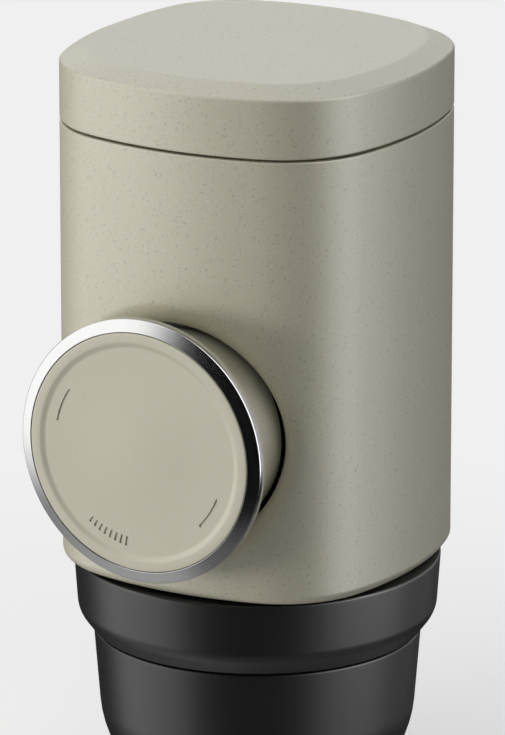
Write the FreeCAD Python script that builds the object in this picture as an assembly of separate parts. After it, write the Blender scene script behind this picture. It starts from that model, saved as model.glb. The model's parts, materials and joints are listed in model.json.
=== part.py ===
import FreeCAD, Part
import math
import os

# Handheld manual espresso maker: water tank on top, hand pump pressed by a
# side knob, capsule chamber and outlet head below, cup pushed on underneath.
# Millimetres. +Z is up, the origin is on the body's axis at the cup's foot,
# and the knob faces -Y.

Vector = FreeCAD.Vector

# ---------------------------------------------------------------- clearances
fit_gap = 0.05          # between fixed pieces that locate each other
running_gap = 0.1       # radial, shaft in its bush and seal in its bore
thread_gap = 0.4        # radial, crest to root of the quick threads
free_gap = 0.4          # around pieces that pass each other freely
face_gap = 0.1          # between a gasket and the piece that leaves it

# --------------------------------------------------------- stack of heights
cup_height = 29.9
cup_gap = 0.3
collar_chamfer_height = 3.3
collar_wall_height = 10.0
collar_gap = 0.5
body_height = 77.4
cap_gap = 0.4
cap_wall_height = 10.1
cap_chamfer_height = 1.96

# ------------------------------------------------- rounded square of the body
across_flats = 62.0
side_arc_radius = 59.5
corner_arc_radius = 18.4
shell_wall = 2.2
body_foot_rounding = 1.8
seam_rounding = 0.35
cap_chamfer_inset = 4.0
cap_top_wall = 2.3

# -------------------------------------------------------------------- knob
knob_height = 28.0          # knob axis above the body's lower edge
knob_proud = 10.1           # face of the knob beyond the body's flat
stroke = 7.2
lock_lugs = 3
ring_radius = 22.9
ring_width = 2.15           # bevel of the ring, seen from the front
ring_bevel_drop = 0.85
ring_edge = 1.0
ring_seat_width = 2.2
ring_overhang = 4.7         # ring beyond the skirt
face_border_width = 1.9
face_groove_depth = 0.35
face_groove_width = 6.3
face_crown = 0.25
skirt_wall = 2.0
skirt_flange = 0.75         # behind the ring
skirt_flange_setin = 0.1
skirt_gap = 0.6
skirt_engagement = 6.5
hole_rounding = 3.2
web_thickness = 2.0
mark_depth = 0.3
mark_width = 0.45
mark_setin = 2.8            # marks' circle inside the border
tick_count = 8
tick_pitch_angle = 3.75
tick_first_angle = -125.0
tick_shortest = 1.1
tick_longest = 1.7
dash_angles = (-32.5, 157.0)
dash_sweep = 22.5

# -------------------------------------------------------- hub and lock guide
hub_radius = 9.0
lug_height = 2.5
lug_thickness = 2.0
lug_sweep = 34.0
slot_side_angle = 4.0
guide_wall = 1.8
guide_flange = 2.5
guide_flange_setin = 1.1    # flange inside the knob's hole
guide_back_plate = 2.3
press_clearance = 1.1

# ------------------------------------------------------------- pump pieces
rod_radius = 4.0
rod_spigot_radius = 3.0
rod_flange_radius = 7.0
rod_flange = 1.5
knob_screw_room = 0.9       # screw head behind the face
piston_length = 5.0
piston_side_gap = 0.3
bore_radius = 10.0
cylinder_wall = 2.0
dead_gap = 0.8
piston_rest_gap = 1.0
piston_seal_width = 2.0
piston_seal_depth = 1.3
spring_wire = 0.8
spring_coils = 5
spring_outer_radius = 6.4
spring_slack = 1.2
gasket_thickness = 0.8
passage_gasket_setout = 1.2 # gasket's bore beyond the port's

# -------------------------------------------------------------- valve block
block_half_width = 9.6
block_half_height = 12.0
block_depth = 10.0
valve_setback = 4.5
valve_bore_radius = 3.1
valve_port_radius = 1.4
valve_ball_radius = 2.2
valve_seat_height = 2.0
valve_plug_height = 1.0
valve_shelf = 2.5           # bore ends this far from the port's axis
valve_spring_wire = 0.4
valve_spring_mean_radius = 1.5
valve_spring_coils = 4

# --------------------------------------------------------------- pump frame
frame_side_room = 3.8       # ears inside the casing's wall
frame_wall = 2.3
frame_rounding = 2.0
frame_floor = 1.4           # frame under the guide's seat
ear_radius = 3.2
ear_offsets_y = (-6.0, 10.0)
ear_height = 3.0
top_ear_drop = 5.7

# --------------------------------------------------------------- tank side
socket_wall = 1.7
socket_side_gap = 0.5       # pot inside the casing's wall
socket_floor = 2.5
socket_deck = 2.0
deck_setback = 0.8
vessel_wall = 1.8
vessel_shoulder_rise = 1.2
tank_gasket_thickness = 1.8
tank_gasket_width = 3.0
inlet_pipe_setin = 0.3      # pipe inside the valve block's front face
filter_radius = 6.2
filter_thickness = 0.6
air_valve_radius = 3.2
air_valve_stem_radius = 1.0
air_valve_setout = 2.7      # air valve ahead of the frame's front face
air_valve_bulb = 0.5        # bulb beyond the stem
air_valve_dome = 1.3

# ------------------------------------------------------------ quick threads
thread_lead = 12.0
thread_starts = 3
thread_sweep = 90.0
thread_height = 1.2         # along the axis
thread_depth = 1.2          # radial
vessel_thread_rise = 3.6    # first ridge above the vessel's mouth
boss_thread_rise = 2.4      # first ridge above the boss's end

# ----------------------------------------------------------- outlet and cup
collar_setout = 0.75        # collar's top beyond the body's flats
collar_draft = 0.7          # collar's wall leans in by this
collar_chamfer_inset = 2.5
collar_wall = 2.2
collar_top_rounding = 0.6
boss_wall = 3.1
boss_reach = 13.0           # boss end below the body's lower edge
sleeve_wall = 2.1
outlet_floor = 2.0
outlet_gasket_thickness = 0.5
cup_rim_setin = 0.15        # cup's rim inside the collar's lower edge
cup_rim_wall = 2.85
cup_draft = 4.48
cup_corner_radius = 20.0
cup_corner_start = 16.5
cup_wall = 2.0
cup_floor = 1.8
cup_bore_gap = 0.35
cup_seal_width = 1.8
cup_seal_depth = 1.15

# ---------------------------------------------------------- capsule chamber
capsule_body_radius = 15.2
capsule_neck_radius = 11.2
capsule_flange_width = 3.6
capsule_flange_depth = 2.0
holder_wall = 1.8
holder_base = 1.6
holder_lip = 1.5            # wall around the capsule's flange
holder_hole_radius = 6.0
holder_cone_start = 14.0    # straight outer wall above the boss's end
holder_cone_height = 5.0
holder_shelf = 7.4
pierce_plate_thickness = 0.8
pierce_point_height = 0.9
needle_count = 3
needle_circle = 3.6
needle_radius = 0.8
needle_length = 4.6
needle_plate_radius = 7.6
needle_plate_thickness = 0.8
needle_tip_radius = 0.15
brew_seal_thickness = 1.5
brew_seal_width = 2.5
brew_flange = 2.5
brew_flange_setback = 0.6
brew_ceiling = 1.8
brew_wall = 3.2
spout_radius = 4.2
spout_bore_radius = 2.4
spout_flange_radius = 6.5
spout_flange = 1.2
spout_length = 6.0

# ------------------------------------------------------------------- screws
screw_radius = 1.3
screw_head_radius = 2.5
screw_head_height = 1.2
drive_width_share = 0.28     # cross slot's width in head radii
screw_length = 9.0
small_screw_radius = 1.0
small_screw_head_radius = 1.7
small_screw_length = 4.0
knob_screw_radius = 1.5
knob_screw_head_radius = 5.2
knob_screw_head_height = 1.8
knob_screw_length = 8.0

# ============================================================ worked-out sizes
half_width = across_flats / 2

cup_rim_z = cup_height
collar_base_z = cup_rim_z + cup_gap
collar_wall_z = collar_base_z + collar_chamfer_height
collar_top_z = collar_wall_z + collar_wall_height
body_base_z = collar_top_z + collar_gap
body_top_z = body_base_z + body_height
cap_base_z = body_top_z + cap_gap
cap_shoulder_z = cap_base_z + cap_wall_height
cap_top_z = cap_shoulder_z + cap_chamfer_height
knob_z = body_base_z + knob_height

face_radius = ring_radius - ring_width
skirt_radius = ring_radius - ring_overhang
hole_radius = skirt_radius + skirt_gap

ridge_spacing = thread_lead / thread_starts

# Distances out from the body's axis towards the knob, along -Y.
face_u = half_width + knob_proud
ring_front_u = face_u - ring_bevel_drop
ring_back_u = ring_front_u - ring_edge
web_back_u = ring_back_u - web_thickness
skirt_back_u = half_width - skirt_engagement
guide_front_u = skirt_back_u - free_gap
lug_back_u = guide_front_u + free_gap
lug_front_u = lug_back_u + lug_thickness
guide_plate_back_u = lug_front_u - stroke + free_gap
rod_flange_front_u = lug_back_u - free_gap
rod_flange_back_u = rod_flange_front_u - rod_flange
rod_front_u = web_back_u - knob_screw_room - knob_screw_head_height - face_gap
spring_rest_length = stroke + spring_coils * spring_wire + spring_slack
spring_seat_u = rod_flange_back_u - spring_rest_length
guide_back_u = spring_seat_u - guide_back_plate
piston_front_u = guide_back_u - piston_rest_gap
piston_back_u = piston_front_u - piston_length
block_face_u = piston_back_u - stroke - dead_gap
flange_front_u = skirt_back_u - stroke - press_clearance - screw_head_height
frame_front_u = flange_front_u - guide_flange
valve_y = -block_face_u + valve_setback
block_back_y = -block_face_u + block_depth
pipe_radius = valve_setback - inlet_pipe_setin
air_valve_y = -frame_front_u - air_valve_setout
ear_reach_x = half_width - shell_wall - frame_side_room
ear_offset_x = ear_reach_x - ear_radius
frame_half_width = ear_offset_x - ear_radius - face_gap
frame_back_y = block_back_y + free_gap + frame_wall

cylinder_radius = bore_radius + cylinder_wall
lug_radius = hub_radius + lug_height
guide_bore_radius = lug_radius + free_gap
guide_radius = guide_bore_radius + guide_wall
guide_flange_radius = hole_radius - guide_flange_setin
guide_screw_circle = (guide_radius + guide_flange_radius) / 2
frame_drop = guide_radius + frame_floor

frame_base_z = knob_z - frame_drop
frame_top_z = knob_z + hole_radius + face_gap
block_base_z = knob_z - block_half_height
block_top_z = knob_z + block_half_height

socket_floor_z = frame_top_z + socket_floor
vessel_shoulder_radius = half_width - shell_wall - socket_side_gap
socket_radius = vessel_shoulder_radius - socket_wall
vessel_radius = socket_radius - thread_depth - thread_gap
deck_top_z = body_top_z - deck_setback
vessel_mouth_z = socket_floor_z + tank_gasket_thickness + 2 * face_gap
vessel_shoulder_z = cap_base_z + vessel_shoulder_rise
cap_ceiling_z = cap_top_z - cap_top_wall
vessel_top_z = cap_ceiling_z - fit_gap

holder_radius = capsule_body_radius + holder_wall
boss_bore_radius = holder_radius + free_gap
boss_radius = boss_bore_radius + boss_wall
capsule_flange_radius = capsule_body_radius + capsule_flange_width
holder_mouth_radius = capsule_flange_radius + holder_lip
boss_end_z = body_base_z - boss_reach
holder_shelf_z = boss_end_z - outlet_gasket_thickness - face_gap
holder_mouth_z = holder_shelf_z - holder_shelf
sleeve_bore_radius = boss_radius + thread_depth + thread_gap
sleeve_radius = sleeve_bore_radius + sleeve_wall
outlet_floor_z = holder_mouth_z - 2 * face_gap - pierce_plate_thickness
spigot_end_z = outlet_floor_z - outlet_floor
holder_neck_radius = capsule_neck_radius + holder_wall
holder_wall_top_z = boss_end_z + holder_cone_start
holder_cone_top_z = holder_wall_top_z + holder_cone_height
brew_ceiling_z = frame_base_z - brew_ceiling
holder_top_z = brew_ceiling_z - brew_seal_thickness - face_gap
neck_bore_radius = holder_neck_radius + free_gap

collar_radius = half_width + collar_setout
collar_wall_radius = collar_radius - collar_draft
collar_low_radius = collar_wall_radius - collar_chamfer_inset
cup_rim_radius = collar_low_radius - cup_rim_setin
cup_bore_radius = cup_rim_radius - cup_rim_wall
spigot_radius = cup_bore_radius - cup_bore_gap


# ==================================================================== helpers
def side_offset():
    """Distance of a side arc's centre beyond the body's axis."""
    return side_arc_radius - half_width


def corner_centre():
    """Distance of a corner arc's centre from the axis, along X and along Y."""
    h = side_offset()
    span = side_arc_radius - corner_arc_radius
    return (-h + math.sqrt(2 * span * span - h * h)) / 2


def rounded_square(inset, z):
    """Closed wire of the body's section, moved inward by inset, at height z."""
    c = corner_centre()
    h = side_offset()
    side = side_arc_radius - inset
    corner = corner_arc_radius - inset
    lean = math.atan2(c, c + h)
    edges = []
    for quarter in range(4):
        turn = quarter * math.pi / 2

        def place(x, y):
            return Vector(x * math.cos(turn) - y * math.sin(turn),
                          x * math.sin(turn) + y * math.cos(turn), z)

        def on_side(angle):
            return place(-h + side * math.cos(angle), side * math.sin(angle))

        def on_corner(angle):
            return place(c + corner * math.cos(angle), c + corner * math.sin(angle))

        edges.append(Part.Arc(on_side(-lean), on_side(0), on_side(lean)).toShape())
        edges.append(Part.Arc(on_corner(lean), on_corner(math.pi / 4),
                              on_corner(math.pi / 2 - lean)).toShape())
    return Part.Wire(edges)


def square_prism(inset, z0, z1):
    """Upright prism of the body's section between two heights."""
    face = Part.Face(rounded_square(inset, z0))
    return face.extrude(Vector(0, 0, z1 - z0))


def lathe(points):
    """Solid turned about Z from (radius, height) corners; a corner may also be
    given as ((r, z), (r, z)): the middle and the end of an arc."""
    edges = []
    first = Vector(points[0][0], 0, points[0][1])
    last = first
    for corner in list(points[1:]) + [points[0]]:
        if isinstance(corner[0], tuple):
            middle = Vector(corner[0][0], 0, corner[0][1])
            end = Vector(corner[1][0], 0, corner[1][1])
            edges.append(Part.Arc(last, middle, end).toShape())
        else:
            end = Vector(corner[0], 0, corner[1])
            if end.isEqual(last, 1e-7):
                continue
            edges.append(Part.LineSegment(last, end).toShape())
        last = end
    face = Part.Face(Part.Wire(edges))
    return face.revolve(Vector(0, 0, 0), Vector(0, 0, 1), 360)


def dome(radius, base_z, height):
    """Arc from (radius, base_z) to the axis, as a middle and an end point of a
    sphere that stands height above its rim."""
    sphere = (radius ** 2 + height ** 2) / (2 * height)
    centre_z = base_z + height - sphere
    middle = (radius / 2, centre_z + math.sqrt(sphere ** 2 - radius ** 2 / 4))
    return (middle, (0, base_z + height))


def tube(outer, inner, z0, z1):
    """Ring or tube about Z."""
    return lathe([(inner, z0), (outer, z0), (outer, z1), (inner, z1)])


def rod(radius, z0, z1, x=0.0, y=0.0):
    """Upright cylinder."""
    return Part.makeCylinder(radius, z1 - z0, Vector(x, y, z0))


def to_knob_axis(shape):
    """Turn a piece made about Z so that its +Z points out along the knob."""
    turned = shape.copy()
    turned.rotate(Vector(0, 0, 0), Vector(1, 0, 0), 90)
    turned.translate(Vector(0, 0, knob_z))
    return turned


def spun(shape, angle):
    """Copy of a piece turned about Z."""
    copy = shape.copy()
    copy.rotate(Vector(0, 0, 0), Vector(0, 0, 1), angle)
    return copy


def lathe_part(outer, inner, z0, z1, sweep):
    """Rectangle turned about Z through part of a turn, from +X."""
    corners = [Vector(inner, 0, z0), Vector(outer, 0, z0),
               Vector(outer, 0, z1), Vector(inner, 0, z1), Vector(inner, 0, z0)]
    face = Part.Face(Part.makePolygon(corners))
    return face.revolve(Vector(0, 0, 0), Vector(0, 0, 1), sweep)


def sector(outer, inner, z0, z1, middle_angle, sweep):
    """Piece of a ring that spans an angle."""
    ring_part = lathe_part(outer, inner, z0, z1, sweep)
    return spun(ring_part, middle_angle - sweep / 2)


def thread_ridges(root, tip, z0):
    """The starts of a quick thread as separate ridges between two radii."""
    climb = thread_lead * thread_sweep / 360
    helix = Part.makeHelix(thread_lead, climb, (root + tip) / 2)
    low = -thread_height / 2
    high = thread_height / 2
    corners = [Vector(root, 0, low), Vector(tip, 0, low), Vector(tip, 0, high),
               Vector(root, 0, high), Vector(root, 0, low)]
    profile = Part.makePolygon(corners)
    ridge = Part.Wire(helix).makePipeShell([profile], True, True)
    ridges = []
    for start in range(thread_starts):
        copy = spun(ridge, start * 360 / thread_starts)
        copy.translate(Vector(0, 0, z0))
        ridges.append(copy)
    return ridges


def round_wire(mean_radius, wire):
    """Section of a round-wire spring."""
    return Part.Wire(Part.Circle(Vector(mean_radius, 0, 0), Vector(0, 1, 0),
                                 wire / 2).toShape())


def square_wire(mean_radius, wire):
    """Section of a square-wire spring."""
    inner = mean_radius - wire / 2
    outer = mean_radius + wire / 2
    return Part.makePolygon([Vector(inner, 0, -wire / 2), Vector(outer, 0, -wire / 2),
                             Vector(outer, 0, wire / 2), Vector(inner, 0, wire / 2),
                             Vector(inner, 0, -wire / 2)])


def coil_spring(make_section, mean_radius, wire, z0, length, coils):
    """Spring about Z, wound from wire of the given section."""
    travel = length - wire
    helix = Part.makeHelix(travel / coils, travel, mean_radius)
    section = make_section(mean_radius, wire)
    spring = Part.Wire(helix).makePipeShell([section], True, True)
    spring.translate(Vector(0, 0, z0 + wire / 2))
    return spring


def pan_screw(shank, head, head_height, length):
    """Screw about Z, shank downward, underside of the head at z = 0."""
    body = rod(shank, -length, 0)
    cap = rod(head, 0, head_height)
    width = head * drive_width_share
    depth = head_height / 2
    drive = Part.makeBox(head, width, depth, Vector(-head / 2, -width / 2, depth))
    cross = drive.fuse(spun(drive, 90))
    return body.fuse(cap).cut(cross).removeSplitter()


def moved(shape, x, y, z):
    """Copy of a piece moved by x, y, z."""
    copy = shape.copy()
    copy.translate(Vector(x, y, z))
    return copy


def ear_places():
    """Where the frame's screw ears stand, as (x, y)."""
    return [(side * ear_offset_x, y) for side in (-1, 1) for y in ear_offsets_y]


def guide_screw_places():
    """Where the guide's screws stand about the knob's axis, as (x, y)."""
    return [(guide_screw_circle * math.cos(math.radians(a)),
             guide_screw_circle * math.sin(math.radians(a))) for a in (90, 210, 330)]


# ============================================================ casing and frame
def make_body_shell():
    """Open sleeve with the knob's hole, its edge well rounded."""
    outer = square_prism(0, body_base_z, body_top_z)
    foot_edges = [e for e in outer.Edges if e.BoundBox.ZMax < body_base_z + 1e-3]
    outer = outer.makeFillet(body_foot_rounding, foot_edges)
    top_edges = [e for e in outer.Edges if e.BoundBox.ZMin > body_top_z - 1e-3]
    outer = outer.makeFillet(seam_rounding, top_edges)
    drill = to_knob_axis(rod(hole_radius, 0, half_width * 2))
    solid = outer.cut(drill)
    rim = [e for e in solid.Edges if is_hole_rim(e)]
    solid = solid.makeFillet(hole_rounding, rim)
    inside = square_prism(shell_wall, body_base_z - 1, body_top_z + 1)
    return solid.cut(inside)


def is_hole_rim(edge):
    """True for an edge where the knob's hole meets the body's outer face."""
    points = edge.discretize(5)
    for p in points:
        reach = math.hypot(p.x, p.z - knob_z)
        if abs(reach - hole_radius) > 1e-3 or p.y > -shell_wall:
            return False
    return edge.BoundBox.XLength > 1e-3 or edge.BoundBox.ZLength > 1e-3


def make_tank_socket():
    """Threaded pot that the tank screws into, with its deck and inlet pipe."""
    pot = lathe([(0, frame_top_z), (socket_radius + socket_wall, frame_top_z),
                 (socket_radius + socket_wall, deck_top_z), (socket_radius, deck_top_z),
                 (socket_radius, socket_floor_z), (0, socket_floor_z)])
    deck = square_prism(shell_wall + free_gap, deck_top_z - socket_deck, deck_top_z)
    deck = deck.cut(rod(socket_radius, body_base_z, cap_top_z))
    pot = pot.fuse(deck)
    thread_z = vessel_mouth_z + vessel_thread_rise + ridge_spacing / 2
    for ridge in thread_ridges(socket_radius + socket_wall / 2,
                               vessel_radius + thread_gap, thread_z):
        pot = pot.fuse(ridge)
    pipe = rod(pipe_radius, block_top_z + gasket_thickness, frame_top_z, 0, valve_y)
    pot = pot.fuse(pipe)
    for x, y in ear_places():
        pot = pot.fuse(rod(ear_radius, frame_top_z - top_ear_drop, frame_top_z, x, y))
        pot = pot.cut(rod(screw_radius, frame_top_z - top_ear_drop, frame_top_z - fit_gap, x, y))
    pot = pot.cut(rod(valve_port_radius, block_top_z, socket_floor_z, 0, valve_y))
    pot = pot.cut(rod(filter_radius + fit_gap, socket_floor_z - filter_thickness,
                      socket_floor_z, 0, valve_y))
    pot = pot.cut(rod(air_valve_stem_radius + fit_gap, frame_top_z, socket_floor_z,
                      0, air_valve_y))
    return pot.removeSplitter()


def make_pump_frame():
    """Block that carries the cylinder, the valve block and the guide."""
    frame = Part.makeBox(2 * frame_half_width, frame_front_u + frame_back_y,
                         frame_top_z - frame_base_z,
                         Vector(-frame_half_width, -frame_front_u, frame_base_z))
    upright = [e for e in frame.Edges if e.BoundBox.ZLength > frame_drop]
    frame = frame.makeFillet(frame_rounding, upright)
    for x, y in ear_places():
        for z0 in (frame_base_z, frame_top_z - top_ear_drop - ear_height):
            ear = rod(ear_radius, z0, z0 + ear_height, x, y)
            bridge = Part.makeBox(abs(x) - frame_half_width + 1, 2 * ear_radius, ear_height,
                                  Vector(min(x, math.copysign(frame_half_width - 1, x)),
                                         y - ear_radius, z0))
            frame = frame.fuse(ear.fuse(bridge))
            frame = frame.cut(rod(screw_radius + fit_gap, z0, z0 + ear_height, x, y))
    bore = rod(cylinder_radius + fit_gap, block_face_u, guide_back_u)
    seat = rod(guide_radius + fit_gap, guide_back_u, frame_front_u)
    frame = frame.cut(to_knob_axis(bore.fuse(seat)))
    pocket_half = block_half_width + fit_gap
    pocket = Part.makeBox(2 * pocket_half, block_back_y + fit_gap + block_face_u,
                          frame_top_z - frame_base_z,
                          Vector(-pocket_half, -block_face_u, frame_base_z))
    frame = frame.cut(pocket)
    for x, y in guide_screw_places():
        hole = rod(small_screw_radius, frame_front_u - small_screw_length, frame_front_u, x, y)
        frame = frame.cut(to_knob_axis(hole))
    return frame.removeSplitter()


def make_brew_head():
    """Lower moulding: base flange, threaded boss and the capsule chamber."""
    neck_radius = neck_bore_radius + brew_wall
    flange_z = body_base_z + brew_flange_setback
    body = lathe([(boss_bore_radius, boss_end_z), (boss_radius, boss_end_z),
                  (boss_radius, holder_wall_top_z + boss_wall / 2),
                  (neck_radius, holder_cone_top_z + boss_wall / 2),
                  (neck_radius, frame_base_z), (0, frame_base_z),
                  (0, brew_ceiling_z), (neck_bore_radius, brew_ceiling_z),
                  (neck_bore_radius, holder_cone_top_z),
                  (boss_bore_radius, holder_wall_top_z)])
    flange = square_prism(shell_wall + free_gap, flange_z, flange_z + brew_flange)
    flange = flange.cut(rod(boss_bore_radius + boss_wall / 2, flange_z - 1,
                            flange_z + brew_flange + 1))
    body = body.fuse(flange)
    thread_z = boss_end_z + boss_thread_rise
    for ridge in thread_ridges(boss_radius - boss_wall / 2,
                               boss_radius + thread_depth, thread_z):
        body = body.fuse(ridge)
    for x, y in ear_places():
        body = body.fuse(rod(ear_radius, flange_z, frame_base_z, x, y))
        body = body.cut(rod(screw_radius, frame_base_z - screw_length + ear_height,
                            frame_base_z, x, y))
    stub_top = block_base_z - gasket_thickness
    body = body.fuse(rod(pipe_radius, frame_base_z - brew_ceiling / 2, stub_top,
                         0, valve_y))
    body = body.cut(rod(valve_port_radius, brew_ceiling_z - 1, stub_top, 0, valve_y))
    body = body.cut(rod(small_screw_radius, brew_ceiling_z,
                        frame_base_z - fit_gap, 0, 0))
    return body.removeSplitter()


def make_needle_plate():
    """Steel disc with hollow points that open the capsule's closed end."""
    top = brew_ceiling_z
    base = top - needle_plate_thickness
    plate = tube(needle_plate_radius, small_screw_radius + fit_gap, base, top)
    for n in range(needle_count):
        angle = 2 * math.pi * n / needle_count
        tip = Part.makeCone(needle_tip_radius, needle_radius, needle_length,
                            Vector(needle_circle * math.cos(angle),
                                   needle_circle * math.sin(angle),
                                   base - needle_length))
        plate = plate.fuse(tip)
    return plate.removeSplitter()


def make_needle_screw():
    """Short screw that holds the needle plate up."""
    length = brew_ceiling + needle_plate_thickness - 4 * fit_gap
    screw = pan_screw(small_screw_radius - fit_gap, small_screw_head_radius,
                      screw_head_height, length)
    screw.rotate(Vector(0, 0, 0), Vector(1, 0, 0), 180)
    return moved(screw, 0, 0, brew_ceiling_z - needle_plate_thickness)


def make_brew_seal():
    """Ring that closes the gap between the chamber's neck and the holder."""
    outer = neck_bore_radius - fit_gap
    return tube(outer, outer - brew_seal_width, holder_top_z + face_gap, brew_ceiling_z)


# ================================================================== hand pump
def make_pump_cylinder():
    """Steel liner that the piston runs in."""
    return to_knob_axis(tube(cylinder_radius, bore_radius,
                             block_face_u + gasket_thickness, guide_back_u - fit_gap))


def make_cylinder_gasket():
    """Flat ring between the cylinder and the valve block."""
    return to_knob_axis(tube(cylinder_radius, bore_radius + fit_gap,
                             block_face_u, block_face_u + gasket_thickness))


def make_valve_block():
    """Block with one upright passage for the inlet and outlet valves."""
    block = Part.makeBox(2 * block_half_width, block_depth, 2 * block_half_height,
                         Vector(-block_half_width, -block_face_u, block_base_z))
    block = block.cut(rod(valve_bore_radius, block_base_z, knob_z - valve_shelf, 0, valve_y))
    block = block.cut(rod(valve_bore_radius, knob_z + valve_shelf, block_top_z, 0, valve_y))
    block = block.cut(rod(valve_port_radius, block_base_z, block_top_z, 0, valve_y))
    port = to_knob_axis(rod(valve_port_radius, -valve_y, block_face_u))
    return block.cut(port).removeSplitter()


def valve_seat_levels():
    """Underside of the inlet's and the outlet's seat."""
    return {"inlet": block_top_z - valve_seat_height,
            "outlet": knob_z - valve_shelf - valve_seat_height}


def valve_spring_levels():
    """Lower end of the inlet's and the outlet's valve spring."""
    return {"inlet": knob_z + valve_shelf, "outlet": block_base_z + valve_plug_height}


def make_valve_seat(which):
    """Ring that the ball closes against."""
    z0 = valve_seat_levels()[which]
    seat = tube(valve_bore_radius - fit_gap, valve_port_radius, z0, z0 + valve_seat_height)
    return moved(seat, 0, valve_y, 0)


def ball_centre(which):
    """Height of a ball that rests up against its seat's edge."""
    drop = math.sqrt(valve_ball_radius ** 2 - valve_port_radius ** 2)
    return valve_seat_levels()[which] - drop - fit_gap


def make_valve_ball(which):
    """Steel ball of a check valve."""
    return Part.makeSphere(valve_ball_radius, Vector(0, valve_y, ball_centre(which)))


def make_valve_spring(which):
    """Light spring that holds a ball up to its seat."""
    z0 = valve_spring_levels()[which] + fit_gap
    reach = valve_spring_mean_radius + valve_spring_wire / 2
    under_ball = ball_centre(which) - math.sqrt(valve_ball_radius ** 2 - reach ** 2)
    length = under_ball - z0 - valve_spring_wire
    spring = coil_spring(square_wire, valve_spring_mean_radius, valve_spring_wire, z0,
                         length, valve_spring_coils)
    return moved(spring, 0, valve_y, 0)


def make_valve_plug():
    """Ring pressed in below the outlet valve's spring."""
    plug = tube(valve_bore_radius - fit_gap, valve_port_radius, block_base_z,
                block_base_z + valve_plug_height)
    return moved(plug, 0, valve_y, 0)


def make_passage_gasket(z0):
    """Flat ring at the top or the bottom of the valve block."""
    bore = valve_port_radius + passage_gasket_setout
    ring = tube(pipe_radius - fit_gap, bore, z0, z0 + gasket_thickness)
    return moved(ring, 0, valve_y, 0)


def make_knob_guide():
    """Bush that guides the rod and holds the lock's slotted plate."""
    body = lathe([(rod_radius + running_gap, guide_back_u), (guide_radius, guide_back_u),
                  (guide_radius, guide_front_u), (hub_radius + free_gap, guide_front_u),
                  (hub_radius + free_gap, guide_plate_back_u),
                  (guide_bore_radius, guide_plate_back_u), (guide_bore_radius, spring_seat_u),
                  (rod_radius + running_gap, spring_seat_u)])
    for n in range(lock_lugs):
        body = body.cut(sector(guide_bore_radius, hub_radius, guide_plate_back_u - 1,
                               guide_front_u + 1, 90 + n * 360 / lock_lugs,
                               lug_sweep + 2 * slot_side_angle))
    flange = tube(guide_flange_radius, guide_radius - guide_wall / 2, frame_front_u, flange_front_u)
    kept_height = frame_drop - free_gap + guide_flange_radius
    kept = Part.makeBox(2 * guide_flange_radius, kept_height, flange_front_u,
                        Vector(-guide_flange_radius, free_gap - frame_drop, 0))
    flange = flange.common(kept)
    for x, y in guide_screw_places():
        flange = flange.cut(rod(small_screw_radius + fit_gap, frame_front_u - 1,
                                flange_front_u + 1, x, y))
    return to_knob_axis(body.fuse(flange).removeSplitter())


def make_guide_screws():
    """Three screws that hold the guide's flange to the frame."""
    screw = pan_screw(small_screw_radius - fit_gap, small_screw_head_radius,
                      screw_head_height, guide_flange + small_screw_length - 1)
    screws = [to_knob_axis(moved(screw, x, y, flange_front_u)) for x, y in guide_screw_places()]
    return Part.makeCompound(screws)


def make_socket_screws():
    """Four screws up through the frame's upper ears."""
    screw = pan_screw(screw_radius - fit_gap, screw_head_radius, screw_head_height,
                      ear_height + top_ear_drop - 1)
    screw.rotate(Vector(0, 0, 0), Vector(1, 0, 0), 180)
    z = frame_top_z - top_ear_drop - ear_height
    return Part.makeCompound([moved(screw, x, y, z) for x, y in ear_places()])


def make_brew_head_screws():
    """Four screws down through the frame's lower ears."""
    screw = pan_screw(screw_radius - fit_gap, screw_head_radius, screw_head_height,
                      screw_length - fit_gap)
    z = frame_base_z + ear_height
    return Part.makeCompound([moved(screw, x, y, z) for x, y in ear_places()])


def make_plunger_rod():
    """Rod with the return spring's flange."""
    body = lathe([(0, piston_back_u + face_gap), (rod_spigot_radius, piston_back_u + face_gap),
                  (rod_spigot_radius, piston_front_u), (rod_radius, piston_front_u),
                  (rod_radius, rod_flange_back_u), (rod_flange_radius, rod_flange_back_u),
                  (rod_flange_radius, rod_flange_front_u), (rod_radius, rod_flange_front_u),
                  (rod_radius, rod_front_u), (0, rod_front_u)])
    body = body.cut(rod(knob_screw_radius, rod_front_u - knob_screw_length - 0.5, rod_front_u))
    return to_knob_axis(body)


def make_pump_piston():
    """Piston with the seal's groove."""
    radius = bore_radius - piston_side_gap
    groove = radius - piston_seal_depth
    middle = (piston_back_u + piston_front_u) / 2
    low = middle - piston_seal_width / 2
    high = middle + piston_seal_width / 2
    inner = rod_spigot_radius + fit_gap
    return to_knob_axis(lathe([(inner, piston_back_u), (radius, piston_back_u), (radius, low),
                               (groove, low), (groove, high), (radius, high),
                               (radius, piston_front_u), (inner, piston_front_u)]))


def make_piston_seal():
    """Sealing ring in the piston's groove."""
    groove = bore_radius - piston_side_gap - piston_seal_depth
    middle = (piston_back_u + piston_front_u) / 2
    half = piston_seal_width / 2 - fit_gap
    return to_knob_axis(tube(bore_radius - running_gap, groove + fit_gap,
                             middle - half, middle + half))


def make_return_spring():
    """Spring around the rod that pushes the knob out."""
    spring = coil_spring(round_wire, spring_outer_radius - spring_wire / 2, spring_wire,
                         spring_seat_u + fit_gap, spring_rest_length - 2 * fit_gap, spring_coils)
    return to_knob_axis(spring)


# ======================================================================= knob
def make_knob_skirt():
    """Drum behind the face that slides in the body's hole and backs the ring."""
    flange_radius = ring_radius - skirt_flange_setin
    flange_back_u = ring_back_u - skirt_flange
    return to_knob_axis(lathe([(skirt_radius - skirt_wall, skirt_back_u),
                               (skirt_radius, skirt_back_u), (skirt_radius, flange_back_u),
                               (flange_radius, flange_back_u), (flange_radius, ring_back_u),
                               (0, ring_back_u), (0, web_back_u),
                               (skirt_radius - skirt_wall, web_back_u)]))


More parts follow.
